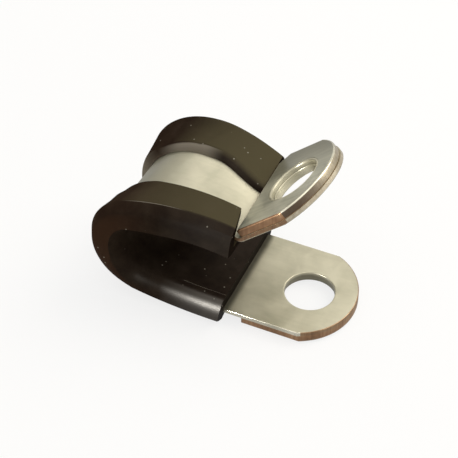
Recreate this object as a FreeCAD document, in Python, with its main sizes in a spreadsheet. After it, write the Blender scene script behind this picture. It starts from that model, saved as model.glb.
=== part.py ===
"""Rubber-lined hose clamp (P-clip), sprung open, ready to go round a hose.

Millimetres. The origin is the centre of the lower lug's hole on the face that
bolts down. +X runs out along the lower lug, +Y goes across the band and +Z is
up. One steel strip makes both lugs and the loop between them; each lug carries
a reinforcing plate, held by a drawn collar, and a rubber channel lines the loop.

The clip was opened by hand, so its loop is a little skewed: the near edge of
the strip (-Y) makes a long loop with a tight bend, the far edge a short one with
a wide bend. The loop and its lining are therefore lofted across the strip,
between side views that change evenly.
"""

import FreeCAD
import Part
import math
import os
import Sketcher

SIZES = {
    # strip and plates
    "band_width": 15.0,
    "band_thickness": 0.6,
    "plate_thickness": 1.1,
    "plate_side_margin": 0.1,
    "plate_tip_margin": 0.2,
    "plate_corner_clip": 1.5,
    "lower_plate_start": -6.5,
    "upper_plate_start": -6.0,
    # lug outline and hole, measured from the hole's centre
    "lug_end_margin": 0.6,
    "lug_end_offset": -1.8,
    "hole_diameter": 6.6,
    "hole_edge_chamfer": 0.15,
    "collar_wall": 0.3,
    "collar_flare": 0.2,
    "collar_rim": 0.15,
    "collar_flare_height": 0.45,
    "collar_clearance": 0.05,
    # upper lug and the crotch it rises from
    "lug_angle": 43.0,
    "crotch_x": -6.72,
    "crotch_height": 13.0,
    "crotch_bend_radius": 0.6,
    "upper_hole_distance": 6.85,
    # loop at the near and the far edge of the strip
    "floor_setback": 0.1,
    "floor_radius": 66.0,
    "near_bend_radius": 5.95,
    "near_bend_x": -19.7,
    "near_top_radius": 26.0,
    "near_end_rise": 0.3,
    "far_bend_radius": 7.7,
    "far_bend_x": -16.25,
    "far_top_radius": 19.0,
    "far_end_rise": -0.3,
    "loop_end_back": 1.05,
    # rubber lining
    "lining_thickness": 2.2,
    "near_lining_side": 1.7,
    "far_lining_side": 1.0,
    "nose_height": 0.35,
    "nose_flat": 0.3,
    "lip_height": 2.0,
    "lip_edge_height": 1.65,
    "near_lip_width": 3.9,
    "far_lip_width": 4.5,
    "lip_bevel": 0.3,
    "lining_clearance": 0.05,
    "lining_end_x": -8.76,
    "lining_end_slant": 0.45,
    "lip_end_setback": 0.65,
    "lining_end_gap": 0.1,
    "lining_end_tilt": 4.5,
}
NOSE_STATIONS = 5
LAYER_STATIONS = 4
NOSE_SLOPE = 0.75
OVERRUN_SHARE = 1.6
TOOL_SIZE = 40.0
TOOL_REACH = "0.1"
ZERO_LENGTH = 1e-6

doc = FreeCAD.newDocument("hose_clamp")
sheet = doc.addObject("Spreadsheet::Sheet", "Sizes")
for row, (alias, number) in enumerate(SIZES.items(), start=1):
    sheet.set("A%d" % row, alias)
    sheet.set("B%d" % row, str(number))
    sheet.setAlias("B%d" % row, alias)
doc.recompute()


def size(alias):
    """One driving dimension, as the sheet holds it."""
    return float(sheet.get(alias))


def evaluate(text):
    """Value of an expression such as 'Sizes.band_width / 2'."""
    value = sheet.evalExpression(text)
    return float(getattr(value, "Value", value))


HALF_WIDTH = size("band_width") / 2
CHANNEL_SIDE = HALF_WIDTH + size("lining_clearance")
LUG_ANGLE = math.radians(size("lug_angle"))
STACK = size("band_thickness") + size("plate_thickness")
CROTCH = FreeCAD.Vector(size("crotch_x"), 0, STACK + size("crotch_height"))
LUG_RUN = FreeCAD.Vector(math.cos(LUG_ANGLE), 0, math.sin(LUG_ANGLE))
LUG_RISE = FreeCAD.Vector(-math.sin(LUG_ANGLE), 0, math.cos(LUG_ANGLE))
UPPER_HOLE = CROTCH + LUG_RUN * size("upper_hole_distance")
UPPER_PLATE_START = UPPER_HOLE + LUG_RUN * size("upper_plate_start")
FLOOR_X = size("lining_end_x") - size("lining_end_slant") - size("floor_setback")

# a lug is drawn with its inner face down and its plate above; the lower lug turns over
LOWER_LUG_PLACE = FreeCAD.Placement(
    FreeCAD.Vector(0, 0, STACK), FreeCAD.Rotation(FreeCAD.Vector(1, 0, 0), 180))
UPPER_LUG_PLACE = FreeCAD.Placement(
    UPPER_HOLE, FreeCAD.Rotation(FreeCAD.Vector(0, 1, 0), -size("lug_angle")))


# side views of the loop

def flat_vector(angle):
    """Unit vector in the side view, at an angle from +X towards +Z."""
    return FreeCAD.Vector(math.cos(angle), 0, math.sin(angle))


def blend(name, across):
    """A loop size at a place across the strip, from its near and far values."""
    share = (across + HALF_WIDTH) / size("band_width")
    return size("near_" + name) + (size("far_" + name) - size("near_" + name)) * share


def side_view(across):
    """Arc centres, radii and angles of the strip's inner face in one side view."""
    bend_radius = blend("bend_radius", across)
    top_radius = blend("top_radius", across)
    loop_end = CROTCH + FreeCAD.Vector(-size("loop_end_back"), 0, blend("end_rise", across))

    # the floor of the loop is a wide arc, and the bend arc leaves it along its tangent
    floor_radius = size("floor_radius")
    floor_centre = FreeCAD.Vector(FLOOR_X, 0, STACK + floor_radius)
    bend_shift = floor_radius - bend_radius
    rise = 1.5 * math.pi - math.asin((FLOOR_X - blend("bend_x", across)) / bend_shift)
    bend_centre = floor_centre + flat_vector(rise) * bend_shift

    # the top arc leaves the bend arc along its tangent and passes the loop's end
    reach = loop_end - bend_centre
    shift = bend_radius - top_radius
    along = (reach.Length ** 2 + shift ** 2 - top_radius ** 2) / (2 * shift)
    meet = math.atan2(reach.z, reach.x) + math.acos(along / reach.Length)
    top_centre = bend_centre + flat_vector(meet) * shift

    # the crotch arc touches the top arc from outside and the upper lug's inner face
    crotch_radius = size("crotch_bend_radius") + size("band_thickness")
    start = CROTCH + LUG_RISE * crotch_radius - top_centre
    half = start.dot(LUG_RUN)
    rest = start.Length ** 2 - (top_radius + crotch_radius) ** 2
    lug_start = math.sqrt(half ** 2 - rest) - half
    crotch_centre = top_centre + start + LUG_RUN * lug_start
    toward = crotch_centre - top_centre
    return {
        "floor_centre": floor_centre,
        "floor_radius": floor_radius,
        "rise": rise,
        "bend_centre": bend_centre,
        "bend_radius": bend_radius,
        "meet": meet,
        "top_centre": top_centre,
        "top_radius": top_radius,
        "leave": math.atan2(toward.z, toward.x),
        "crotch_centre": crotch_centre,
        "crotch_radius": crotch_radius,
    }


def at_depth(point, across):
    return FreeCAD.Vector(point.x, across, point.z)


def line_edge(first, last):
    return Part.LineSegment(first, last).toShape()


def arc_edge(centre, radius, first, last, across):
    """Arc in one side view, through its two ends and its middle."""
    middle = (first + last) / 2
    points = [at_depth(centre + flat_vector(angle) * radius, across) for angle in (first, middle, last)]
    return Part.Arc(*points).toShape()


def loop_edges(across, offset, start_x, stop):
    """The loop in one side view, at an offset outward from the strip's inner face."""
    view = side_view(across)
    foot = FreeCAD.Vector(FLOOR_X, across, STACK - offset)
    edges = [line_edge(FreeCAD.Vector(start_x, across, foot.z), foot)]
    turns = (1.5 * math.pi, view["rise"], view["meet"], stop)
    for arc, first, last in zip(("floor", "bend", "top"), turns, turns[1:]):
        centre, radius = view[arc + "_centre"], view[arc + "_radius"]
        edges.append(arc_edge(centre, radius + offset, first, last, across))
    return edges


def edge_start(edge):
    return edge.valueAt(edge.FirstParameter)


def edge_end(edge):
    return edge.valueAt(edge.LastParameter)


def closed_profile(inner, outer):
    """Edges round two runs that lie side by side, in one order for every side view."""
    far_end = line_edge(edge_end(inner[-1]), edge_end(outer[-1]))
    near_end = line_edge(edge_start(inner[0]), edge_start(outer[0]))
    return inner + [far_end] + outer[::-1] + [near_end]


def strip_profile(across):
    """The strip in one side view, from the lower lug's root to the upper lug's."""
    view = side_view(across)
    runs = []
    for offset in (0, size("band_thickness")):
        edges = loop_edges(across, offset, size("lower_plate_start"), view["leave"])
        crotch = arc_edge(view["crotch_centre"], view["crotch_radius"] - offset,
                          view["leave"] - math.pi, LUG_ANGLE - math.pi / 2, across)
        lug_root = at_depth(UPPER_PLATE_START + LUG_RISE * offset, across)
        runs.append(edges + [crotch, line_edge(edge_end(crotch), lug_root)])
    return closed_profile(*runs)


def lining_profile(across, inner_offset, outer_offset, overrun):
    """The lining in one side view, between two offsets; its lower end is slanted."""
    view = side_view(across)
    stop = view["leave"] - overrun / view["top_radius"]
    depth = size("lining_thickness") + size("lip_height")
    runs = []
    for offset in (inner_offset, outer_offset):
        share = (offset + size("lining_thickness")) / depth
        start_x = size("lining_end_x") - size("lining_end_slant") * share
        runs.append(loop_edges(across, offset, start_x, stop))
    return closed_profile(*runs)


# features

def add_loft(name, profiles):
    """Solid across the strip, straight-ruled from each side view to the next."""
    sections = []
    for number, profile in enumerate(profiles, start=1):
        section = doc.addObject("Part::Feature", "%s_view_%d" % (name, number))
        section.Shape = Part.Wire(profile)
        sections.append(section)
    loft = doc.addObject("Part::Loft", name)
    loft.Sections = sections
    loft.Solid = True
    loft.Ruled = True
    return loft


def add_join(name, items):
    join = doc.addObject("Part::MultiFuse", name)
    join.Shapes = items
    join.Refine = True
    return join


def origin_plane(body, role):
    for feature in body.Origin.OriginFeatures:
        if feature.Role == role:
            return feature
    raise ValueError("no origin plane " + role)


def new_sketch(body, name, role):
    sketch = body.newObject("Sketcher::SketchObject", name)
    sketch.AttachmentSupport = (origin_plane(body, role), [""])
    sketch.MapMode = "FlatFace"
    return sketch


def drive(sketch, name, constraint, expression):
    """Add one named dimension to a sketch and tie it to the sheet."""
    index = sketch.addConstraint(constraint)
    sketch.renameConstraint(index, name)
    sketch.setExpression("Constraints." + name, expression)


def draw_lug(sketch, start, half, offset, clip):
    """Straight sides, one round end and a straight root, its far corner clipped if asked."""
    half_value, offset_value, start_value = (evaluate(text) for text in (half, offset, start))
    radius_value = evaluate(END_RADIUS)
    clip_value = evaluate(clip) if clip else 0.0
    corner_x = offset_value + math.sqrt(radius_value ** 2 - half_value ** 2)
    corner_angle = math.asin(half_value / radius_value)
    corners = [FreeCAD.Vector(x, y, 0) for x, y in (
        (start_value, -half_value), (corner_x, -half_value), (corner_x, half_value),
        (start_value + clip_value, half_value), (start_value, half_value - clip_value))]
    circle = Part.Circle(FreeCAD.Vector(offset_value, 0, 0), FreeCAD.Vector(0, 0, 1), radius_value)
    outline = [
        Part.LineSegment(corners[0], corners[1]),
        Part.ArcOfCircle(circle, -corner_angle, corner_angle),
        Part.LineSegment(corners[2], corners[3]),
    ]
    if clip:
        outline.append(Part.LineSegment(corners[3], corners[4]))
    outline.append(Part.LineSegment(corners[4], corners[0]))
    edges = sketch.addGeometry(outline)
    near_side, tip, far_side, root = edges[0], edges[1], edges[2], edges[-1]
    for first, second in zip(edges, edges[1:] + edges[:1]):
        sketch.addConstraint(Sketcher.Constraint("Coincident", first, 2, second, 1))
    sketch.addConstraint([
        Sketcher.Constraint("Horizontal", near_side),
        Sketcher.Constraint("Horizontal", far_side),
        Sketcher.Constraint("Vertical", root),
        Sketcher.Constraint("PointOnObject", tip, 3, -1),
    ])
    drive(sketch, "end_radius", Sketcher.Constraint("Radius", tip, radius_value), END_RADIUS)
    drive(sketch, "end_x", Sketcher.Constraint("DistanceX", tip, 3, -1, 1, -offset_value),
          "-(%s)" % offset)
    drive(sketch, "near_half", Sketcher.Constraint("DistanceY", near_side, 1, -1, 1, half_value), half)
    drive(sketch, "far_half", Sketcher.Constraint("DistanceY", -1, 1, far_side, 1, half_value), half)
    drive(sketch, "root_x", Sketcher.Constraint("DistanceX", root, 2, -1, 1, -start_value),
          "-(%s)" % start)
    if clip:
        clipped = edges[3]
        drive(sketch, "clip_x", Sketcher.Constraint("DistanceX", clipped, 2, clipped, 1, clip_value), clip)
        drive(sketch, "clip_y", Sketcher.Constraint("DistanceY", clipped, 2, clipped, 1, clip_value), clip)


def add_profile(body, name, points):
    """Closed outline of straight lines in the body's XZ plane, point by point."""
    sketch = new_sketch(body, name, "XZ_Plane")
    values = [(evaluate(x), evaluate(z)) for x, z in points]
    corners = [FreeCAD.Vector(x, z, 0) for x, z in values]
    lines = [Part.LineSegment(a, b) for a, b in zip(corners, corners[1:] + corners[:1])]
    edges = sketch.addGeometry(lines)
    for first, second in zip(edges, edges[1:] + edges[:1]):
        sketch.addConstraint(Sketcher.Constraint("Coincident", first, 2, second, 1))
    for index, ((x, z), (x_value, z_value)) in enumerate(zip(points, values), start=1):
        edge = edges[index - 1]
        drive(sketch, "x%d" % index, Sketcher.Constraint("DistanceX", -1, 1, edge, 1, x_value), x)
        drive(sketch, "z%d" % index, Sketcher.Constraint("DistanceY", -1, 1, edge, 1, z_value), z)
    return sketch


HALF = "Sizes.band_width / 2"
END_RADIUS = "(Sizes.band_width / 2 + Sizes.lug_end_margin)"
BORE = "Sizes.hole_diameter / 2"
BAND = "Sizes.band_thickness"
TOP = "(Sizes.band_thickness + Sizes.plate_thickness)"
THROAT = TOP + " - Sizes.collar_flare_height"
WALL = BORE + " + Sizes.collar_wall"
RIM = WALL + " + Sizes.collar_flare"
GAP = " + Sizes.collar_clearance"


def add_flat(body, start, half, offset, clip, length):
    """Flat of a lug or its plate, from the body's XY plane upward."""
    sketch = new_sketch(body, body.Name + "_outline", "XY_Plane")
    draw_lug(sketch, start, half, offset, clip)
    flat = body.newObject("PartDesign::Pad", body.Name + "_flat")
    flat.Profile = sketch
    flat.setExpression("Length", length)
    doc.recompute()
    return flat


def turn_profile(body, kind, name, points):
    """Full turn of an outline about the hole's axis: added or cut, by the kind."""
    turned = body.newObject(kind, name)
    turned.Profile = add_profile(body, name + "_outline", points)
    turned.ReferenceAxis = (turned.Profile[0], ["V_Axis"])
    turned.Angle = 360
    doc.recompute()
    return turned


def make_strip_lug(name, start):
    """The strip's share of a lug: flat end, hole with an eased mouth and drawn collar."""
    body = doc.addObject("PartDesign::Body", name)
    add_flat(body, start, HALF, "Sizes.lug_end_offset", None, BAND)
    sketch = new_sketch(body, name + "_hole_outline", "XY_Plane")
    circle = sketch.addGeometry(Part.Circle(
        FreeCAD.Vector(), FreeCAD.Vector(0, 0, 1), size("hole_diameter") / 2))
    sketch.addConstraint(Sketcher.Constraint("Coincident", circle, 3, -1, 1))
    drive(sketch, "bore", Sketcher.Constraint("Radius", circle, size("hole_diameter") / 2), BORE)
    hole = body.newObject("PartDesign::Pocket", name + "_hole")
    hole.Profile = sketch
    hole.Type = "ThroughAll"
    hole.Midplane = True
    doc.recompute()

    mouth = body.newObject("PartDesign::Chamfer", name + "_hole_mouth")
    mouth.Base = (hole, [mouth_edge(hole.Shape)])
    mouth.setExpression("Size", "Sizes.hole_edge_chamfer")
    doc.recompute()
    turn_profile(body, "PartDesign::Revolution", name + "_collar", [
        (BORE, BAND + " / 2"),
        (WALL, BAND + " / 2"),
        (WALL, THROAT),
        (RIM, TOP),
        (RIM + " - Sizes.collar_rim", TOP),
        (BORE, THROAT),
    ])
    return body


def mouth_edge(shape):
    """Name of the hole's edge on the lug's inner face."""
    for number, edge in enumerate(shape.Edges, start=1):
        if isinstance(edge.Curve, Part.Circle) and edge.Closed and abs(edge.Curve.Center.z) < ZERO_LENGTH:
            return "Edge%d" % number
    raise ValueError("the lug has no hole edge on its inner face")


def make_plate(name, place, start, clip):
    """Reinforcing plate with a hole that widens to take the flared collar."""
    body = doc.addObject("PartDesign::Body", name)
    add_flat(body, start, HALF + " - Sizes.plate_side_margin",
             "(Sizes.lug_end_offset - Sizes.plate_tip_margin)", clip, "Sizes.plate_thickness")
    turn_profile(body, "PartDesign::Groove", name + "_hole", [
        ("0", "-" + TOOL_REACH),
        (WALL + GAP, "-" + TOOL_REACH),
        (WALL + GAP, "Sizes.plate_thickness - Sizes.collar_flare_height"),
        (RIM + GAP, "Sizes.plate_thickness"),
        (RIM + GAP, "Sizes.plate_thickness + " + TOOL_REACH),
        ("0", "Sizes.plate_thickness + " + TOOL_REACH),
    ])
    body.Placement = place.multiply(FreeCAD.Placement(
        FreeCAD.Vector(0, 0, size("band_thickness")), FreeCAD.Rotation()))
    return body


# strip: loop and crotch lofted, lugs joined on

lower_lug = make_strip_lug("lower_lug", "Sizes.lower_plate_start")
lower_lug.Placement = LOWER_LUG_PLACE
upper_lug = make_strip_lug("upper_lug", "Sizes.upper_plate_start")
upper_lug.Placement = UPPER_LUG_PLACE
stations = [-HALF_WIDTH + size("band_width") * step / (LAYER_STATIONS - 1)
            for step in range(LAYER_STATIONS)]
loop = add_loft("loop", [strip_profile(across) for across in stations])
band = add_join("band", [loop, lower_lug, upper_lug])

# reinforcing plates

lower_plate = make_plate("lower_reinforcing_plate", LOWER_LUG_PLACE, "Sizes.lower_plate_start", None)
upper_plate = make_plate("upper_reinforcing_plate", UPPER_LUG_PLACE, "Sizes.upper_plate_start",
                         "Sizes.plate_corner_clip")

# rubber lining: two rounded sides, the layer inside the loop and two lips outside it


def nose_station(step, side):
    """Distance out from the channel and the two offsets of a rounded side."""
    turn = math.pi / 2 * step / (NOSE_STATIONS - 1)
    reach = side * math.sin(turn)
    inner = size("nose_height") - (size("lining_thickness") + size("nose_height")) * math.cos(turn)
    slope = (1 - math.sin(turn)) ** NOSE_SLOPE
    outer = size("nose_height") + (size("lip_height") - size("nose_height")) * slope
    if step == NOSE_STATIONS - 1:
        inner -= size("nose_flat") / 2
        outer += size("nose_flat") / 2
    return reach, inner, outer


def make_side(name, direction, side):
    profiles = []
    for step in range(NOSE_STATIONS):
        reach, inner, outer = nose_station(step, side)
        across = direction * (CHANNEL_SIDE + reach)
        profiles.append(lining_profile(across, inner, outer, OVERRUN))
    return add_loft(name, profiles)


def make_lip(name, direction, width, bevel):
    """Lip over one edge of the strip, thinner towards its inner edge."""
    floor = size("band_thickness") + size("lining_clearance")
    edge = HALF_WIDTH - width
    views = [(CHANNEL_SIDE, size("lip_height"), 0.0)]
    if bevel:
        views.append((edge + bevel, size("lip_edge_height"), -size("lip_end_setback")))
        views.append((edge, size("lip_edge_height") - bevel, -size("lip_end_setback")))
    else:
        views.append((edge, size("lip_edge_height"), -size("lip_end_setback")))
    profiles = [lining_profile(direction * across, floor, top, overrun)
                for across, top, overrun in views]
    return add_loft(name, profiles)


OVERRUN = OVERRUN_SHARE * size("lining_thickness")
near_side = make_side("near_side", -1, size("near_lining_side"))
far_side = make_side("far_side", 1, size("far_lining_side"))
near_lip = make_lip("near_lip", -1, size("near_lip_width"), 0.0)
far_lip = make_lip("far_lip", 1, size("far_lip_width"), size("lip_bevel"))
layer_stations = [-CHANNEL_SIDE + 2 * CHANNEL_SIDE * step / (LAYER_STATIONS - 1)
                  for step in range(LAYER_STATIONS)]
layer = add_loft("layer", [
    lining_profile(across, -size("lining_thickness"), -size("lining_clearance"), OVERRUN)
    for across in layer_stations])
whole = add_join("lining_whole", [near_side, far_side, layer, near_lip, far_lip])

# its upper end is cut nearly upright, just clear of the upper plate
plate_corner = UPPER_PLATE_START + LUG_RISE * STACK
end_tool = doc.addObject("Part::Box", "lining_end_tool")
for side in ("Length", "Width", "Height"):
    setattr(end_tool, side, TOOL_SIZE)
end_tool.Placement = FreeCAD.Placement(
    plate_corner - FreeCAD.Vector(size("lining_end_gap"), 0, 0),
    FreeCAD.Rotation(FreeCAD.Vector(0, 1, 0), -size("lining_end_tilt")),
).multiply(FreeCAD.Placement(FreeCAD.Vector(0, -TOOL_SIZE / 2, -TOOL_SIZE / 2), FreeCAD.Rotation()))
lining = doc.addObject("Part::Cut", "rubber_lining")
lining.Base = whole
lining.Tool = end_tool
doc.recompute()

NODES = {
    "band": (band, "Strip with both lugs"),
    "rubber_lining": (lining, "Rubber lining"),
    "upper_reinforcing_plate": (upper_plate, "Upper reinforcing plate"),
    "lower_reinforcing_plate": (lower_plate, "Lower reinforcing plate"),
}
for item in doc.Objects:
    if "Invalid" in item.State or "Error" in item.State:
        raise RuntimeError(item.Name + " is not up to date")
os.makedirs("parts", exist_ok=True)
for name, (item, label) in NODES.items():
    item.Label = label
    shape = item.Shape
    if shape.isNull() or not shape.isValid() or len(shape.Solids) != 1:
        raise RuntimeError(name + " is not one valid solid")
    shape.exportStep("parts/%s.step" % name)
    print(name, round(shape.Volume, 2), shape.BoundBox)
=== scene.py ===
"""Looks of a rubber-lined hose clamp (P-clip), sprung open.

The steel and the rubber are modelled flat, as the strip and the extruded
channel are before forming, and are then bent along the clip's skewed loop.
"""

import math

import bmesh
import bpy
from mathutils import Matrix, Vector


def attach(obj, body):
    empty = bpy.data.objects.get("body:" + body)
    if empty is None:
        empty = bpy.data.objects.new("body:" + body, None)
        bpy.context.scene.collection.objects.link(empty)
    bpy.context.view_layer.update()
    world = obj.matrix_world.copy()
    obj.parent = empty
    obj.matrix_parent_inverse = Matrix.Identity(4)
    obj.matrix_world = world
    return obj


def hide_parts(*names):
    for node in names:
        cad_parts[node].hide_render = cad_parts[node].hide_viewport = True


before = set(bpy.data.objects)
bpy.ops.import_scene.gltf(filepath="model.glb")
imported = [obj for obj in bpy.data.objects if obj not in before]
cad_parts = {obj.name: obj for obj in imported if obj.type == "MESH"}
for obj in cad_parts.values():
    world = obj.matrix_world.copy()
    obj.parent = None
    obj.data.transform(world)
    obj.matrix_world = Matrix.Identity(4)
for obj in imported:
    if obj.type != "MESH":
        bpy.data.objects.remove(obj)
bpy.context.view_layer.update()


# Steel strip
# One blank of 0.6 mm zinc-plated steel, 15 mm wide, with a hole punched near
# each round end. It is bent into the loop, kinked at the crotch and turned up.

# lengths are in mm until a mesh is formed
MM = 0.001
WIDTH = 15.0
STRIP = 0.6
PLATE = 1.1
STACK = STRIP + PLATE
HALF = WIDTH / 2
LUG_ANGLE = math.radians(43.0)
LUG_RUN = Vector((math.cos(LUG_ANGLE), 0, math.sin(LUG_ANGLE)))
LUG_RISE = Vector((-math.sin(LUG_ANGLE), 0, math.cos(LUG_ANGLE)))
CROTCH = Vector((-6.72, 0, STACK + 13.0))
CROTCH_RADIUS = 1.2
CROTCH_TO_HOLE = 6.85
UPPER_HOLE = CROTCH + LUG_RUN * CROTCH_TO_HOLE
LOWER_ROOT = -6.5
UPPER_ROOT = -6.0
FLOOR_X = -9.31
FLOOR_RADIUS = 66.0
LOOP_END_X = -7.77
DOWN = 1.5 * math.pi

# loop at the strip's near and far edge: bend radius, bend centre x, top radius, end height
NEAR_LOOP = (5.95, -19.7, 26.0, 13.3)
FAR_LOOP = (7.7, -16.25, 19.0, 12.7)


def toward(angle):
    """Unit vector in the side view, from +X towards +Z."""
    return Vector((math.cos(angle), 0, math.sin(angle)))


def side_view(across):
    """Centres, radii and angles of the strip's inner face at a place across it."""
    share = (across + HALF) / WIDTH
    bend, bend_x, top, end = (near + (far - near) * share for near, far in zip(NEAR_LOOP, FAR_LOOP))
    bend_shift = FLOOR_RADIUS - bend
    rise = DOWN - math.asin((FLOOR_X - bend_x) / bend_shift)
    floor_centre = Vector((FLOOR_X, 0, STACK + FLOOR_RADIUS))
    bend_centre = floor_centre + toward(rise) * bend_shift
    reach = Vector((LOOP_END_X, 0, STACK + end)) - bend_centre
    shift = bend - top
    along = (reach.length_squared + shift * shift - top * top) / (2 * shift)
    meet = math.atan2(reach.z, reach.x) + math.acos(along / reach.length)
    top_centre = bend_centre + toward(meet) * shift
    start = CROTCH + LUG_RISE * CROTCH_RADIUS - top_centre
    half = start.dot(LUG_RUN)
    rest = start.length_squared - (top + CROTCH_RADIUS) ** 2
    crotch_centre = top_centre + start + LUG_RUN * (math.sqrt(half * half - rest) - half)
    to_crotch = crotch_centre - top_centre
    leave = math.atan2(to_crotch.z, to_crotch.x)
    arcs = ((floor_centre, FLOOR_RADIUS, DOWN, rise), (bend_centre, bend, rise, meet),
            (top_centre, top, meet, leave))
    return arcs, crotch_centre


def round_loop(start_x, place, across, out):
    """Point of the loop: place 0-1 is its straight, then come its floor, bend and top."""
    if place < 1:
        return Vector((start_x + (FLOOR_X - start_x) * place, across, STACK - out))
    number = min(int(place) - 1, 2)
    centre, radius, first, last = side_view(across)[0][number]
    point = centre + toward(first + (last - first) * (place - 1 - number)) * (radius + out)
    return Vector((point.x, across, point.z))


def smooth_step(value, low, high):
    """Share from 0 at low to 1 at high, level at both ends."""
    share = min(max((value - low) / (high - low), 0.0), 1.0)
    return share * share * (3 - 2 * share)


PINCH = 0.5


def pinch(place):
    """How far the strip lies inside its even loop at the back of the bend."""
    return PINCH * smooth_step(place, 2.3, 2.6) * (1 - smooth_step(place, 2.75, 3.05))


# places along the flat blank, in mm from the lower hole: root, then the ends of the
# loop's straight, floor, bend and top, of the crotch bend and of the run to the lug
BLANK = (6.5, 9.3, 19.5, 38.5, 52.0, 53.2, 53.6)
UPPER_HOLE_RUN = BLANK[6] - UPPER_ROOT


def on_lower_lug(along, across, out):
    """Point of the flat lower lug, which is turned over: its inner face is its top."""
    return Vector((along, across, STACK - out))


def on_upper_lug(along, across, out):
    """Point of the upper lug, from its hole's middle."""
    point = UPPER_HOLE + LUG_RUN * along + LUG_RISE * out
    return Vector((point.x, across, point.z))


def on_strip(run, across, out):
    """Where a point of the flat blank ends up once the strip is formed."""
    root, straight, floor, bend, top, crotch, lug = BLANK
    if run <= root:
        return on_lower_lug(-run, across, out)
    if run >= lug:
        return on_upper_lug(run - UPPER_HOLE_RUN, across, out)
    if run <= top:
        stops = (root, straight, floor, bend, top)
        step = 0 if run < straight else 1 if run < floor else 2 if run < bend else 3
        place = step + (run - stops[step]) / (stops[step + 1] - stops[step])
        return round_loop(LOWER_ROOT, place, across, out - pinch(place))
    arcs, crotch_centre = side_view(across)
    first, last = arcs[2][3] - math.pi, LUG_ANGLE - math.pi / 2
    share = min((run - top) / (crotch - top), 1.0)
    point = crotch_centre + toward(first + (last - first) * share) * (CROTCH_RADIUS - out)
    if run > crotch:
        share = (run - crotch) / (lug - crotch)
        point = point.lerp(on_upper_lug(UPPER_ROOT, across, out), share)
    return Vector((point.x, across, point.z))


def formed(bm, place_of):
    """Bend a flat mesh in mm: each vertex goes where place_of puts it, in metres."""
    for vert in bm.verts:
        vert.co = place_of(*vert.co) * MM


def piece_from(bm, name, materials):
    """Finished object from a mesh, riding on the clip's one body."""
    mesh = bpy.data.meshes.new(name)
    bm.to_mesh(mesh)
    bm.free()
    piece = bpy.data.objects.new(name, mesh)
    bpy.context.scene.collection.objects.link(piece)
    for material in materials:
        mesh.materials.append(material)
    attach(piece, "root")
    return piece


# a lug's round end, its hole and the collar in it; steps count the edges of the mesh
END_RADIUS = 8.1
END_OFFSET = -1.8
END_STEPS = 40
HOLE_RADIUS = 3.3
HOLE_STEPS = 96
ACROSS_STEPS = 16
COLLAR_SEAT = 3.6
COLLAR_REACH = 4.5
MOUTH_ROUND = 0.16
MOUTH_STEPS = 6
WELD = 1e-3


def lug_rim(bm, root, half, offset, clip):
    """Edges of a lug's outline on the XY plane but for its root: sides and round tip."""
    corner = math.asin(half / END_RADIUS)
    turns = [corner * (2 * step / END_STEPS - 1) for step in range(END_STEPS + 1)]
    points = [(root, -half)]
    points += [(offset + END_RADIUS * math.cos(turn), END_RADIUS * math.sin(turn)) for turn in turns]
    points += [(root + clip, half)]
    if clip:
        points += [(root, half - clip)]
    verts = [bm.verts.new((x, y, 0)) for x, y in points]
    return verts, [bm.edges.new(pair) for pair in zip(verts, verts[1:])]


def hole_rim(bm, radius):
    """Edges of a round hole on the XY plane."""
    ring = bmesh.ops.create_circle(bm, segments=HOLE_STEPS, radius=radius)
    edges = []
    for vert in ring["verts"]:
        edges += [edge for edge in vert.link_edges if edge not in edges]
    return edges


def add_lug(bm, root, offset, half):
    """Flat lug with its hole; its root is split so that the strip can go on from it."""
    verts, rim = lug_rim(bm, root, half, offset, 0.0)
    root_verts = [verts[-1]]
    for step in range(1, ACROSS_STEPS):
        root_verts.append(bm.verts.new((root, half * (1 - 2 * step / ACROSS_STEPS), 0)))
    root_verts.append(verts[0])
    root_edges = [bm.edges.new(pair) for pair in zip(root_verts, root_verts[1:])]
    bmesh.ops.triangle_fill(bm, use_beauty=True, use_dissolve=False,
                            edges=rim + root_edges + hole_rim(bm, COLLAR_SEAT))


# the collar's wall and flare: distance out from the hole, and depth under the plate's face
COLLAR_WALL = ((0, 0.75), (0.02, 0.68), (0.07, 0.64), (0.11, 0.66), (0.12, 0.95), (0.18, 0.95),
               (0.19, 0.36), (0.2, 0.2), (0.25, 0.08), (0.33, 0.01), (0.4, 0), (0.47, 0.02), (0.52, 0.08))


def add_collar(bm):
    """Drawn collar: rolled mouth on the inner face, wall, and flare in the plate."""
    points = [(COLLAR_SEAT, 0)]
    points += [(HOLE_RADIUS + MOUTH_ROUND * (1 - math.sin(turn)), MOUTH_ROUND * (1 - math.cos(turn)))
               for turn in (math.pi / 2 * step / MOUTH_STEPS for step in range(MOUTH_STEPS + 1))]
    points += [(HOLE_RADIUS + away, STACK - depth) for away, depth in COLLAR_WALL]
    points += [(COLLAR_SEAT, STACK - 0.45), (COLLAR_SEAT, STRIP)]
    verts = [bm.verts.new((radius, 0, out)) for radius, out in points]
    edges = [bm.edges.new(pair) for pair in zip(verts, verts[1:])]
    bmesh.ops.spin(bm, geom=verts + edges, cent=(0, 0, 0), axis=(0, 0, 1), dvec=(0, 0, 0),
                   angle=2 * math.pi, steps=HOLE_STEPS, use_merge=True, use_duplicate=False)


def shift_new(bm, old, matrix):
    """Move the vertices that have come since the old ones."""
    bmesh.ops.transform(bm, matrix=matrix, verts=[vert for vert in bm.verts if vert not in old])


strip = bmesh.new()
add_lug(strip, LOWER_ROOT, END_OFFSET, HALF)
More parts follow.
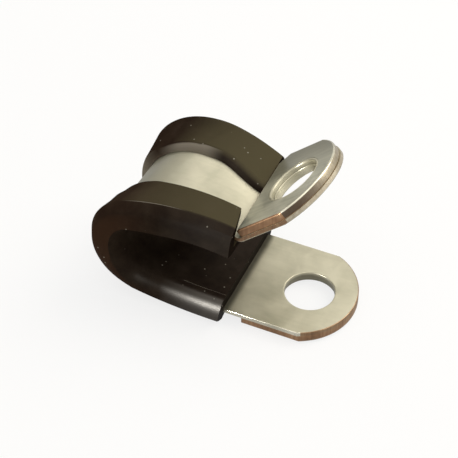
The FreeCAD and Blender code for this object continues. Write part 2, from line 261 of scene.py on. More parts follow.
# the lower lug lies turned round on the blank, so that run grows towards the loop
bmesh.ops.rotate(strip, cent=(0, 0, 0), matrix=Matrix.Rotation(math.pi, 3, "Z"), verts=strip.verts)
last_row = [edge for edge in strip.edges
            if all(abs(vert.co.x - BLANK[0]) < WELD for vert in edge.verts)]
stops = [BLANK[0] + (BLANK[1] - BLANK[0]) * step / 2 for step in range(1, 3)]
for first, last, steps in ((1, 2, 14), (2, 3, 64), (3, 4, 44), (4, 5, 12), (5, 6, 1)):
    stops += [BLANK[first] + (BLANK[last] - BLANK[first]) * step / steps for step in range(1, steps + 1)]
for before, stop in zip([BLANK[0]] + stops, stops):
    grown = bmesh.ops.extrude_edge_only(strip, edges=last_row)["geom"]
    verts = [item for item in grown if isinstance(item, bmesh.types.BMVert)]
    bmesh.ops.translate(strip, vec=(stop - before, 0, 0), verts=verts)
    last_row = [item for item in grown if isinstance(item, bmesh.types.BMEdge)
                and all(abs(vert.co.x - stop) < WELD for vert in item.verts)]
loop_verts = set(strip.verts)
add_lug(strip, UPPER_ROOT, END_OFFSET, HALF)
shift_new(strip, loop_verts, Matrix.Translation((UPPER_HOLE_RUN, 0, 0)))
bmesh.ops.remove_doubles(strip, verts=strip.verts, dist=WELD)

# the sheet's thickness, then its collars in place of the plain hole walls
bmesh.ops.recalc_face_normals(strip, faces=strip.faces)
grown = bmesh.ops.extrude_face_region(strip, geom=strip.faces[:], use_keep_orig=True)["geom"]
outer_verts = [item for item in grown if isinstance(item, bmesh.types.BMVert)]
bmesh.ops.translate(strip, vec=(0, 0, STRIP), verts=outer_verts)
hole_walls = [face for face in strip.faces if abs(face.normal.z) < 0.5 and all(
    min(math.hypot(vert.co.x, vert.co.y), math.hypot(vert.co.x - UPPER_HOLE_RUN, vert.co.y))
    < COLLAR_SEAT + 0.01 for vert in face.verts)]
bmesh.ops.delete(strip, geom=hole_walls, context="FACES_ONLY")
for hole_run in (0.0, UPPER_HOLE_RUN):
    sheet_verts = set(strip.verts)
    add_collar(strip)
    shift_new(strip, sheet_verts, Matrix.Translation((hole_run, 0, 0)))
bmesh.ops.remove_doubles(strip, verts=strip.verts, dist=WELD)
bmesh.ops.recalc_face_normals(strip, faces=strip.faces)


# material numbers of both the strip and the plates
FLAT, CUT, TIP, RIM = range(4)
UPRIGHT = 0.6


def round_rim(bm, height, radius, segments, material):
    """Round a blank's rim at one height, where its flat face meets its sheared side."""
    rim = []
    for edge in bm.edges:
        sides = {face.material_index for face in edge.link_faces}
        if (len(edge.link_faces) == 2 and len(sides) == 2 and FLAT in sides
                and all(abs(vert.co.z - height) < 0.01 for vert in edge.verts)):
            rim.append(edge)
    bmesh.ops.bevel(bm, geom=rim, offset=radius, offset_type="OFFSET", segments=segments, profile=0.5,
                    affect="EDGES", clamp_overlap=True, material=material)


# the sheared sides have their own materials, and so has the inner face's rolled rim
SIDE_BAND = 0.2
STRIP_ROUND = 0.11
for face in strip.faces:
    middle = face.calc_center_median()
    near_hole = min(math.hypot(middle.x - run, middle.y) for run in (0.0, UPPER_HOLE_RUN)) < COLLAR_REACH
    if abs(face.normal.z) < UPRIGHT and not near_hole:
        at_side = abs(middle.y) > HALF - SIDE_BAND
        if middle.x > UPPER_HOLE_RUN and not at_side:
            face.material_index = TIP
        elif middle.x < BLANK[1] and at_side:
            face.material_index = RIM
        else:
            face.material_index = CUT
round_rim(strip, 0.0, STRIP_ROUND, 3, RIM)
for face in strip.faces:
    middle = face.calc_center_median()
    if face.material_index == RIM and middle.x < 0 and abs(middle.y) < HALF - SIDE_BAND:
        face.material_index = CUT
formed(strip, on_strip)


def linear(hex_colour):
    """sRGB hex to linear RGBA."""
    channels = [int(hex_colour[index:index + 2], 16) / 255 for index in (0, 2, 4)]
    return [c / 12.92 if c <= 0.04045 else ((c + 0.055) / 1.055) ** 2.4 for c in channels] + [1.0]


def add_node(tree, kind, settings=None, values=None, links=None):
    """Shader node with its settings, its socket values and what is linked into it."""
    node = tree.nodes.new(kind)
    for name, value in (settings or {}).items():
        setattr(node, name, value)
    for name, value in (values or {}).items():
        node.inputs[name].default_value = value
    for name, socket in (links or {}).items():
        tree.links.new(socket, node.inputs[name])
    return node


def new_material(name):
    """Empty material and its node tree."""
    material = bpy.data.materials.new(name)
    material.use_nodes = True
    material.node_tree.nodes.clear()
    return material, material.node_tree


def colour_ramp(tree, factor, stops):
    """Ramp from a list of (place, hex colour)."""
    ramp = add_node(tree, "ShaderNodeValToRGB", links={"Fac": factor})
    elements = ramp.color_ramp.elements
    while len(elements) < len(stops):
        elements.new(0.5)
    for element, (place, colour) in zip(elements, stops):
        element.position = place
        element.color = linear(colour)
    return ramp.outputs["Color"]


def zinc_steel(name, colours, roughness, metallic, line_scale, line_share, tarnish_and_shade=()):
    """Zinc-plated cold-rolled steel: satin, clouded by the bath, with faint working lines.

    A row of darkening, tarnish in some rows and painted shade in others, is its colour and share, the way
    along which it grows, the places in metres where it begins and is full, and the height in metres that it
    stays below.
    """
    material, tree = new_material(name)
    where = add_node(tree, "ShaderNodeTexCoord").outputs["Object"]
    # clouds about 4 mm across
    clouds = add_node(tree, "ShaderNodeTexNoise",
                      values={"Scale": 260.0, "Detail": 4.0, "Roughness": 0.55, "Distortion": 0.4},
                      links={"Vector": where})
    lines = add_node(tree, "ShaderNodeMapping", values={"Scale": line_scale}, links={"Vector": where})
    working = add_node(tree, "ShaderNodeTexNoise", values={"Scale": 1.0, "Detail": 2.0},
                       links={"Vector": lines.outputs["Vector"]})
    shade = add_node(tree, "ShaderNodeMix", values={"Factor": line_share},
                     links={"A": clouds.outputs["Fac"], "B": working.outputs["Fac"]})
    colour = colour_ramp(tree, shade.outputs["Result"], list(zip((0.36, 0.5, 0.64), colours)))
    # each row blends in a darker colour: tarnish in some rows, painted shade in others
    for dark, strength, axis, first, last, below in tarnish_and_shade:
        along = add_node(tree, "ShaderNodeVectorMath", {"operation": "DOT_PRODUCT"}, {1: axis}, {0: where})
        amount = add_node(tree, "ShaderNodeMapRange", {"interpolation_type": "SMOOTHSTEP"},
                          {"From Min": first, "From Max": last, "To Min": 0.0, "To Max": strength},
                          {"Value": along.outputs["Value"]})
        height = add_node(tree, "ShaderNodeSeparateXYZ", links={"Vector": where})
        low = add_node(tree, "ShaderNodeMath", {"operation": "LESS_THAN"}, {1: below},
                       {0: height.outputs["Z"]})
        share = add_node(tree, "ShaderNodeMath", {"operation": "MULTIPLY"}, None,
                         {0: amount.outputs["Result"], 1: low.outputs["Value"]})
        tinted = add_node(tree, "ShaderNodeMix", {"data_type": "RGBA"},
                             links={"Factor": share.outputs["Value"], "A": colour})
        tinted.inputs["B"].default_value = linear(dark)
        colour = tinted.outputs["Result"]
    gloss = add_node(tree, "ShaderNodeMapRange",
                     values={"From Min": 0.35, "From Max": 0.65, "To Min": roughness - 0.04,
                             "To Max": roughness + 0.06},
                     links={"Value": clouds.outputs["Fac"]})
    surface = add_node(tree, "ShaderNodeBsdfPrincipled", values={"Metallic": metallic},
                       links={"Base Color": colour, "Roughness": gloss.outputs["Result"]})
    add_node(tree, "ShaderNodeOutputMaterial", links={"Surface": surface.outputs["BSDF"]})
    return material


# rolling lines about 0.5 mm apart run along the sheet; shear marks stand across its edge
ROLLED = (180.0, 2200.0, 180.0)
SHEARED = (3000.0, 3000.0, 250.0)

# pale warm satin, with painted shade: greyer at the back of the bend, dark by the rubber's end and darker
# low down
strip_zinc = zinc_steel(
    "zinc_plated_strip_satin", ("b3af98", "beb9a2", "c8c3ac"), 0.36, 0.4, ROLLED, 0.15,
    # painted shade: greyer at the back of the bend, where the light falls off
    (("8b8877", 0.9, (-1, 0, 0), 0.0145, 0.0215, 1.0),
     # painted shadow and reflection: dark on the strip by the rubber's end
     ("2c291f", 0.8, (-1, 0, 0), 0.0078, 0.0087, 0.004),
     # painted shade: darker low down, such as the lower lug's hole wall
     ("5f5a44", 0.7, (0, 0, -1), -0.0016, -0.0011, 0.004)))
# a rim smoothed by rolling, which catches the light as a bright line
rim_zinc = zinc_steel("rolled_rim_bright_zinc", ("c9c4b0", "d6d1be", "e2ddcb"), 0.24, 0.9, ROLLED, 0.15)
# the upper lug's punched tip shows as a pale band
tip_cut = zinc_steel("punched_tip_edge", ("b0a48e", "c3b8a2", "d4ccb7"), 0.32, 0.6, SHEARED, 0.4)
# a sheared side is coppery brown, with upright marks
strip_cut = zinc_steel("sheared_strip_edge", ("7b5f47", "8f7053", "a58a6c"), 0.34, 0.7, SHEARED, 0.4)


STEEL_CREASE = math.radians(40)


def finish_mesh(piece, crease_angle):
    """Smooth shading that keeps creases, with flats left flat."""
    piece.data.shade_smooth()
    piece.data.set_sharp_from_angle(angle=crease_angle)
    flats = piece.modifiers.new("flat_faces_lead", "WEIGHTED_NORMAL")
    flats.keep_sharp = True


clamp_strip = piece_from(strip, "formed_strip", [strip_zinc, strip_cut, tip_cut, rim_zinc])
finish_mesh(clamp_strip, STEEL_CREASE)
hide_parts("band")


# Reinforcing plates
# Two 1.1 mm zinc-plated plates that stiffen the lugs. Each is punched, so its
# rim is sheared, and the strip's collar is flared into its widened hole.

PLATE_HALF = HALF - 0.1
PLATE_OFFSET = END_OFFSET - 0.2
PLATE_BORE = COLLAR_SEAT + 0.05
PLATE_MOUTH = COLLAR_SEAT + 0.25
PLATE_INNER_ROUND = 0.08
PLATE_OUTER_ROUND = 0.2
CORNER_CLIP = 1.5


def make_plate(name, root, clip, offset, tip_material, place_of):
    """Plate punched flat, with one clipped corner or none, then laid on its lug."""
    plate = bmesh.new()
    verts, rim = lug_rim(plate, root, PLATE_HALF, offset, clip)
    rim.append(plate.edges.new((verts[-1], verts[0])))
    bmesh.ops.triangle_fill(plate, use_beauty=True, use_dissolve=False,
                            edges=rim + hole_rim(plate, PLATE_BORE))
    grown = bmesh.ops.extrude_face_region(plate, geom=plate.faces[:], use_keep_orig=True)["geom"]
    top = [item for item in grown if isinstance(item, bmesh.types.BMVert)]
    bmesh.ops.translate(plate, vec=(0, 0, PLATE), verts=top)
    for vert in top:
        if math.hypot(vert.co.x, vert.co.y) < PLATE_BORE + 0.05:
            vert.co.xy *= PLATE_MOUTH / PLATE_BORE
    bmesh.ops.translate(plate, vec=(0, 0, STRIP), verts=plate.verts)
    bmesh.ops.recalc_face_normals(plate, faces=plate.faces)
    for face in plate.faces:
        middle = face.calc_center_median()
        if abs(face.normal.z) < UPRIGHT and math.hypot(middle.x, middle.y) > COLLAR_REACH:
            face.material_index = TIP if middle.x > 0 and abs(middle.y) < PLATE_HALF - 0.3 else CUT
    round_rim(plate, STRIP, PLATE_INNER_ROUND, 4, CUT)
    round_rim(plate, STACK, PLATE_OUTER_ROUND, 4, RIM)
    # only the round tip's rim is bright
    for face in plate.faces:
        middle = face.calc_center_median()
        if face.material_index == RIM and (middle.x < 0 or abs(middle.y) > PLATE_HALF - 0.25):
            face.material_index = CUT if middle.y < 0 else FLAT
    formed(plate, place_of)
    piece = piece_from(plate, name, [plate_zinc, plate_cut, tip_material, rim_zinc])
    finish_mesh(piece, STEEL_CREASE)
    return piece


# cool grey satin with clear rolling lines, and painted shade that makes it darker towards the far side
plate_zinc = zinc_steel(
    "zinc_plated_plate_satin", ("9f9e8b", "b3b19d", "c5c2ae"), 0.36, 0.4, ROLLED, 0.3,
    (("726f5e", 0.85, (0, 1, 0), -0.001, 0.007, 1.0),))
# a thick sheared side, coppery brown with upright marks
plate_cut = zinc_steel("sheared_plate_edge", ("836347", "987455", "ae8c6a"), 0.34, 0.7, SHEARED, 0.4)
# the upper plate's punched tip is pale, and turns dark brown towards its near side
plate_tip_cut = zinc_steel(
    "punched_plate_tip_edge", ("a19680", "b3a892", "c6bca6"), 0.32, 0.6, SHEARED, 0.4,
    (("4f3d2e", 0.9, (0, -1, 0), 0.0005, 0.006, 1.0),))

upper_plate = make_plate("upper_plate", UPPER_ROOT, CORNER_CLIP, PLATE_OFFSET, plate_tip_cut, on_upper_lug)
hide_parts("upper_reinforcing_plate")
lower_plate = make_plate("lower_plate", LOWER_ROOT, 0.0, END_OFFSET, plate_cut, on_lower_lug)
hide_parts("lower_reinforcing_plate")


# Rubber lining
# An extruded rubber channel, cut to length and pushed over the strip. Its sides
# bulge, its two lips lie over the strip's edges and thin out towards the middle.

LINING_START = -8.76
LINING_SLANT = 0.45
LINING_INNER = -2.2
LINING_OUTER = 2.0
LINING_STEPS = (1, 14, 64, 56)
OVERRUN_STEPS = 18

# section corners: across the strip, outward, rounding, rounding segments
LINING_SECTION = (
    (-6.94, -2.14, 0.0, 1), (-7.02, -2.2, 0.0, 1), (-9.2, -2.2, 1.9, 14), (-9.2, 0.9, 0.7, 6),
    (-7.55, 1.97, 0.1, 3), (-3.6, 1.72, 0.12, 3), (-3.6, 0.65, 0.0, 1), (-7.55, 0.65, 0.0, 1),
    (-7.55, -0.05, 0.0, 1), (7.55, -0.05, 0.0, 1), (7.55, 0.65, 0.0, 1), (2.85, 0.65, 0.0, 1),
    (3.02, 1.7, 0.8, 10), (7.55, 1.97, 0.1, 3), (8.5, 0.9, 0.5, 6),
    (8.5, -2.2, 1.4, 14), (7.02, -2.2, 0.0, 1), (6.94, -2.14, 0.0, 1),
)


def section_face(bm, corners):
    """Cross-section at x = 0: a corner polygon whose corners are then rounded one by one."""
    verts = [bm.verts.new((0, across, out)) for across, out, _, _ in corners]
    bm.faces.new(verts)
    for vert, (_, _, rounding, segments) in zip(verts, corners):
        if rounding:
            bmesh.ops.bevel(bm, geom=[vert], offset=rounding, offset_type="OFFSET", segments=segments,
                            profile=0.5, affect="VERTICES", clamp_overlap=False, material=-1)
    return bm.faces[:]


def spread(place, table):
    """Value at a place from a table of (place, value)."""
    for (first, low), (last, high) in zip(table, table[1:]):
        if place < last:
            return low + (high - low) * max(place - first, 0.0) / (last - first)
    return table[-1][1]


# outward from the strip's inner face: the lips' undersides and tops; across from the
# middle: the seat's side, the lips' outer and inner ends, the inner layer's raised rim
LIP_FLOOR = 0.65
LIP_TOP = 1.7
SEAT_HALF = 7.55
LIP_OUTER = 7.5
LIP_INNER = 3.0
RIM_BESIDE = 6.94
FAR_LIP_CREEP = 1.7
# the near side: where its inner round begins and how wide that is, the outward height of
# the round's rim along the loop, and where the flat side ends above it
ROUND_START = -7.3
ROUND_WIDTH = 1.9
ROUND_TOP = 0.3
NEAR_RIM = ((1.8, 0.7), (2.0, 0.6), (2.13, -0.2), (2.23, -0.7), (2.4, -1.3), (2.6, -1.45), (2.95, -1.3),
            (3.3, -1.8), (4.0, -1.75))
FACE_TOP = 0.9


def rubber_fit(place, across, out):
    """How the rubber has crept and squared up along the loop: new place across and outward."""
    near = across < 0
    on_lip = out > LIP_FLOOR - 0.01
    inward = smooth_step(-abs(across), -LIP_OUTER, -LIP_INNER)
    if -0.1 < out < LIP_FLOOR + 0.01 and abs(across) < SEAT_HALF + 0.05:
        # the channel's seat follows the strip
        out -= pinch(place)
    elif out > LIP_FLOOR:
        # pulled thin round the bend, most of all at the lip's edge
        thinned = 0.35 + (0.45 if near else 0.4) * smooth_step(place, 2.64, 2.78)
        thinned *= smooth_step(across, -8.0, -5.0) if near else inward
        thinned *= smooth_step(place, 1.7, 2.3) * (1 - smooth_step(place, 2.75, 3.12))
        share = (out - LIP_FLOOR) / (LIP_TOP - LIP_FLOOR)
        out -= share * thinned + (1 - share) * pinch(place) * inward
    if out > 1.2 and near:
        # the near lip's end is pushed up by the lug plate
        out += 0.3 * smooth_step(place, 3.45, 4.0) * smooth_step(-across, LIP_INNER, LIP_OUTER)
    if on_lip and not near:
        # the far lip has crept over the strip towards the crotch
        across -= FAR_LIP_CREEP * inward * smooth_step(place, 3.3, 4.0)
    if abs(across + RIM_BESIDE) < 0.04 and out < -2.0:
        # the inner layer's rim stands up on the floor alone
        out -= 0.06 * smooth_step(place, 1.3, 1.7)
    if across < ROUND_START and out < FACE_TOP:
        # the near side's inner round ends in a crisp rim, low on the floor and high on the top
        rim = spread(place, NEAR_RIM)
        if out <= -ROUND_TOP:
            turn = math.acos(min(max(-out - ROUND_TOP, 0.0) / ROUND_WIDTH, 1.0))
            last = math.radians(90 - 38 * smooth_step(place, 1.9, 2.15))
            turn *= last / (math.pi / 2)
            across = ROUND_START - ROUND_WIDTH * math.sin(turn) / math.sin(last)
            out = LINING_INNER + (rim - LINING_INNER) * (1 - math.cos(turn)) / (1 - math.cos(last))
        else:
            out = rim + (FACE_TOP - rim) * (out + ROUND_TOP) / (FACE_TOP + ROUND_TOP)
    return across, out


def on_lining(step, across, out):
    """Where a point of the straight channel ends up; step counts cross-sections."""
    place = 0
    for steps in LINING_STEPS[:-1]:
        if step <= steps:
            break
        place, step = place + 1, step - steps
    else:
        steps = LINING_STEPS[-1]
    place += step / steps
    across, out = rubber_fit(place, across, out)
    share = (out - LINING_INNER) / (LINING_OUTER - LINING_INNER)
    start_x = LINING_START - LINING_SLANT * share
    return round_loop(start_x, place, across, out)


lining = bmesh.new()
cap = section_face(lining, LINING_SECTION)
for step in range(sum(LINING_STEPS) + OVERRUN_STEPS):
    grown = bmesh.ops.extrude_face_region(lining, geom=cap)["geom"]
    verts = [item for item in grown if isinstance(item, bmesh.types.BMVert)]
    bmesh.ops.translate(lining, vec=(1, 0, 0), verts=verts)
    bmesh.ops.delete(lining, geom=cap if step else [], context="FACES_ONLY")
    cap = [item for item in grown if isinstance(item, bmesh.types.BMFace)]
bmesh.ops.recalc_face_normals(lining, faces=lining.faces)

# faces with pale lines, crease wear and painted highlight: near lip's corner, inner layer's rim, far lip's
# rounded edge
PALE_LINE = 1
for face in lining.faces:
    middle = face.calc_center_median()
    if abs(face.normal.x) > 0.5:
        continue
    near_corner = abs(middle.y + SEAT_HALF) < 0.06 and middle.z > 1.9
    inner_rim = -7.03 < middle.y < -6.9 and middle.z < -2.1 and middle.x < 8
    far_lip_edge = 2.84 < middle.y < 3.8 and LIP_FLOOR < middle.z < LIP_TOP - 0.01
    if near_corner or inner_rim or far_lip_edge:
        face.material_index = PALE_LINE
outward = lining.verts.layers.float.new("outward")
for vert in lining.verts:
    vert[outward] = vert.co.z
formed(lining, on_lining)

# the upper end is cut just clear of the upper plate, by a plane that leans a little
CUT_GAP = 0.04
CUT_LEAN = math.radians(-4.5)
FUSE = 1e-7
plate_corner = UPPER_HOLE + LUG_RUN * UPPER_ROOT + LUG_RISE * STACK
cut_point = plate_corner - Vector((CUT_GAP, 0, 0))
cut_normal = toward(CUT_LEAN)
bmesh.ops.bisect_plane(
    lining, geom=lining.verts[:] + lining.edges[:] + lining.faces[:], dist=FUSE,
    plane_co=cut_point * MM, plane_no=cut_normal, clear_outer=False, clear_inner=False)
# the lower arm, under the middle of the loop, is left whole
LOOP_MIDDLE = 8.0
beyond = [vert for vert in lining.verts if vert.co.z > LOOP_MIDDLE * MM
          and (vert.co / MM - cut_point).dot(cut_normal) > 1e-4]
bmesh.ops.delete(lining, geom=beyond, context="VERTS")
bmesh.ops.holes_fill(lining, edges=[edge for edge in lining.edges if edge.is_boundary], sides=0)
bmesh.ops.remove_doubles(lining, verts=lining.verts, dist=FUSE)

# the near lip's end has drawn back from the plate, most at its inner edge
DRAWN_BACK = 0.95
DRAWN_REACH = 3.0
DRAWN_BEYOND = -12.5
NEAR_LIP_WIDTH = 3.9
for vert in lining.verts:
    across = vert.co.y / MM
    on_near_lip = vert[outward] > LIP_FLOOR - 0.01 and -LIP_OUTER < across < -LIP_INNER
    if on_near_lip and vert.co.x > DRAWN_BEYOND * MM:
        centre = side_view(across)[0][2][0]
        arm = Vector((vert.co.x / MM, 0, vert.co.z / MM)) - centre
        behind = (plate_corner.x - vert.co.x / MM) / DRAWN_REACH
        drawn = DRAWN_BACK * (across + LIP_OUTER) / NEAR_LIP_WIDTH * (1 - smooth_step(behind, 0.0, 1.0))
        arm = Matrix.Rotation(-drawn / arm.length, 3, "Y") @ arm
        vert.co = Vector((centre.x + arm.x, across, centre.z + arm.z)) * MM


def rubber(name, colours, settled_and_lit, roughness, dust, crease_and_highlight=None):
    """Extruded rubber: satin black-brown, olive on top with settled dust and painted light from above,
    browner at the back with painted warm light.

    Places are in metres. The pale lines' colour, where there is one, is crease wear and painted highlight;
    it covers all but the upper outside, and there the bend's shoulder alone.
    """
    material, tree = new_material(name)
    where = add_node(tree, "ShaderNodeTexCoord").outputs["Object"]
    # bloom in patches about 4 mm across
    bloom = add_node(tree, "ShaderNodeTexNoise", values={"Scale": 250.0, "Detail": 5.0, "Roughness": 0.6},
                     links={"Vector": where})
    colour = colour_ramp(tree, bloom.outputs["Fac"], list(zip((0.35, 0.5, 0.68), colours)))
    # settled dust and painted light from above turn the outside olive, most where it faces up and towards
    # the lugs
    normal = add_node(tree, "ShaderNodeNewGeometry").outputs["Normal"]
    facing = add_node(tree, "ShaderNodeSeparateXYZ", links={"Vector": normal})
    slope = add_node(tree, "ShaderNodeVectorMath", {"operation": "DOT_PRODUCT"},
                     {1: (0.45, 0.0, 0.89)}, {0: normal})
    up = add_node(tree, "ShaderNodeMapRange",
                  values={"From Min": 0.55, "From Max": 1.0, "To Min": 0.0, "To Max": 1.0},
                  links={"Value": slope.outputs["Value"]})
    at = add_node(tree, "ShaderNodeSeparateXYZ", links={"Vector": where})
    outside = add_node(tree, "ShaderNodeMapRange",
                       values={"From Min": 0.011, "From Max": 0.015, "To Min": 0.0, "To Max": 1.0},
                       links={"Value": at.outputs["Z"]})
    off_front = add_node(tree, "ShaderNodeMapRange",
                     values={"From Min": -0.45, "From Max": -0.25, "To Min": 0.0, "To Max": 1.0},
                     links={"Value": facing.outputs["Y"]})
    dust_and_top_light = add_node(tree, "ShaderNodeMath", {"operation": "MULTIPLY"}, None,
                        {0: up.outputs["Result"], 1: outside.outputs["Result"]})
    beyond_face = add_node(tree, "ShaderNodeMapRange",
                           values={"From Min": -0.0078, "From Max": -0.0074, "To Min": 0.0, "To Max": 1.0},
                           links={"Value": at.outputs["Y"]})
    holding = add_node(tree, "ShaderNodeMath", {"operation": "MAXIMUM"}, None,
                       {0: off_front.outputs["Result"], 1: beyond_face.outputs["Result"]})
    dust_and_top_light = add_node(tree, "ShaderNodeMath", {"operation": "MULTIPLY"}, None,
                        {0: dust_and_top_light.outputs["Value"], 1: holding.outputs["Value"]})
    dusted_and_lit = add_node(tree, "ShaderNodeMix", {"data_type": "RGBA"},
                      links={"Factor": dust_and_top_light.outputs["Value"], "A": colour})
    dusted_and_lit.inputs["B"].default_value = linear(settled_and_lit)
    # painted warm light: the bend's outside turns brown at the back, but not its inside
    back = add_node(tree, "ShaderNodeMapRange", {"interpolation_type": "SMOOTHSTEP"},
                    {"From Min": -0.016, "From Max": -0.026, "To Min": 0.0, "To Max": 0.75},
                    {"Value": at.outputs["X"]})
    bend_middle = (-0.0197, 0.0, 0.0086)
    from_middle = add_node(tree, "ShaderNodeVectorMath", {"operation": "SUBTRACT"}, {1: bend_middle},
                           {0: where})
    flattened = add_node(tree, "ShaderNodeVectorMath", {"operation": "MULTIPLY"}, {1: (1.0, 0.0, 1.0)},
                         {0: from_middle.outputs["Vector"]})
    radial = add_node(tree, "ShaderNodeVectorMath", {"operation": "NORMALIZE"}, None,
                      {0: flattened.outputs["Vector"]})
    away_from_middle = add_node(tree, "ShaderNodeVectorMath", {"operation": "DOT_PRODUCT"}, None,
                                {0: radial.outputs["Vector"], 1: normal})
    beyond_rim = add_node(tree, "ShaderNodeMapRange",
                          values={"From Min": -0.3, "From Max": -0.1, "To Min": 0.0, "To Max": 1.0},
                          links={"Value": away_from_middle.outputs["Value"]})
    below_top = add_node(tree, "ShaderNodeMapRange",
                         values={"From Min": 0.1, "From Max": 0.5, "To Min": 1.0, "To Max": 0.35},
                         links={"Value": facing.outputs["Z"]})
    warm_light = add_node(tree, "ShaderNodeMath", {"operation": "MULTIPLY"}, None,
                        {0: back.outputs["Result"], 1: beyond_rim.outputs["Result"]})
    warm_light = add_node(tree, "ShaderNodeMath", {"operation": "MULTIPLY"}, None,
                        {0: warm_light.outputs["Value"], 1: below_top.outputs["Result"]})
    toned = add_node(tree, "ShaderNodeMix", {"data_type": "RGBA"},
                         links={"Factor": warm_light.outputs["Value"], "A": dusted_and_lit.outputs["Result"]})
    toned.inputs["B"].default_value = linear("3f2c20")
    if crease_and_highlight:
        # on top the pale lines, crease wear and painted highlight, show on the bend's shoulder alone
        left = add_node(tree, "ShaderNodeMapRange", {"interpolation_type": "SMOOTHSTEP"},
                        {"From Min": -0.0235, "From Max": -0.0195, "To Min": 0.0, "To Max": 1.0},
                        {"Value": at.outputs["X"]})
        right = add_node(tree, "ShaderNodeMapRange", {"interpolation_type": "SMOOTHSTEP"},
                         {"From Min": -0.0165, "From Max": -0.0135, "To Min": 1.0, "To Max": 0.0},
                         {"Value": at.outputs["X"]})
        inward = add_node(tree, "ShaderNodeMapRange", {"interpolation_type": "SMOOTHSTEP"},
                          {"From Min": -0.25, "From Max": -0.55, "To Min": 0.0, "To Max": 1.0},
                          {"Value": facing.outputs["Y"]})
        shoulder = add_node(tree, "ShaderNodeMath", {"operation": "MULTIPLY"}, None,
                            {0: left.outputs["Result"], 1: right.outputs["Result"]})
        bare = add_node(tree, "ShaderNodeMath", {"operation": "MULTIPLY"}, None,
                        {0: shoulder.outputs["Value"], 1: inward.outputs["Result"]})
        covered = add_node(tree, "ShaderNodeMath", {"operation": "SUBTRACT"}, {0: 1.0},
                           {1: bare.outputs["Value"]})
        faded = add_node(tree, "ShaderNodeMath", {"operation": "MULTIPLY"}, None,
                         {0: covered.outputs["Value"], 1: outside.outputs["Result"]})
        shown = add_node(tree, "ShaderNodeMath", {"operation": "SUBTRACT"}, {0: 1.0},
                         {1: faded.outputs["Value"]})
        toned = add_node(tree, "ShaderNodeMix", {"data_type": "RGBA"},
                             links={"Factor": shown.outputs["Value"], "A": toned.outputs["Result"]})
        toned.inputs["B"].default_value = linear(crease_and_highlight)
    # painted shade: the cut ends, which face the lugs, are darker
    painted_end_shade = add_node(tree, "ShaderNodeMapRange",
                    values={"From Min": 0.5, "From Max": 0.9, "To Min": 0.0, "To Max": 0.8},
                    links={"Value": facing.outputs["X"]})
    at_end = add_node(tree, "ShaderNodeMapRange",
                      values={"From Min": -0.0135, "From Max": -0.0125, "To Min": 0.0, "To Max": 1.0},
                      links={"Value": at.outputs["X"]})
    painted_end_shade = add_node(tree, "ShaderNodeMath", {"operation": "MULTIPLY"}, None,
                    {0: painted_end_shade.outputs["Result"], 1: at_end.outputs["Result"]})
    toned = add_node(tree, "ShaderNodeMix", {"data_type": "RGBA"},
                         links={"Factor": painted_end_shade.outputs["Value"], "A": toned.outputs["Result"]})
    toned.inputs["B"].default_value = linear("120d0a")
    # dust: one speck at most in each 1.4 mm cell, about 0.15 mm across
    cells = add_node(tree, "ShaderNodeTexVoronoi", values={"Scale": 700.0, "Randomness": 1.0},
                     links={"Vector": where})
    speck = add_node(tree, "ShaderNodeMapRange",
                     values={"From Min": 0.03, "From Max": 0.09, "To Min": dust, "To Max": 0.0},
                     links={"Value": cells.outputs["Distance"]})
    spotted = add_node(tree, "ShaderNodeMix", {"data_type": "RGBA"},
                       links={"Factor": speck.outputs["Result"], "A": toned.outputs["Result"]})
    spotted.inputs["B"].default_value = linear("b9b4a6")
    # a grain of 0.25 mm breaks up the highlights, and the bloom's patches differ in gloss
    grain = add_node(tree, "ShaderNodeTexNoise", values={"Scale": 4000.0, "Detail": 3.0},
                     links={"Vector": where})
    bump = add_node(tree, "ShaderNodeBump", values={"Strength": 0.3, "Distance": 0.00002},
                    links={"Height": grain.outputs["Fac"]})
    gloss = add_node(tree, "ShaderNodeMapRange",
                     values={"To Min": roughness - 0.08, "To Max": roughness + 0.1},
                     links={"Value": bloom.outputs["Fac"]})
    # rubbed glossy low down and on the floor's front, dull with dust higher up
    shine = add_node(tree, "ShaderNodeMapRange",
                     values={"From Min": 0.004, "From Max": 0.009, "To Min": 0.5, "To Max": 0.06},
                     links={"Value": at.outputs["Z"]})
    rubbed = add_node(tree, "ShaderNodeMapRange",
                      values={"From Min": -0.0175, "From Max": -0.0108, "To Min": 0.03, "To Max": 1.0},
                      links={"Value": at.outputs["X"]})
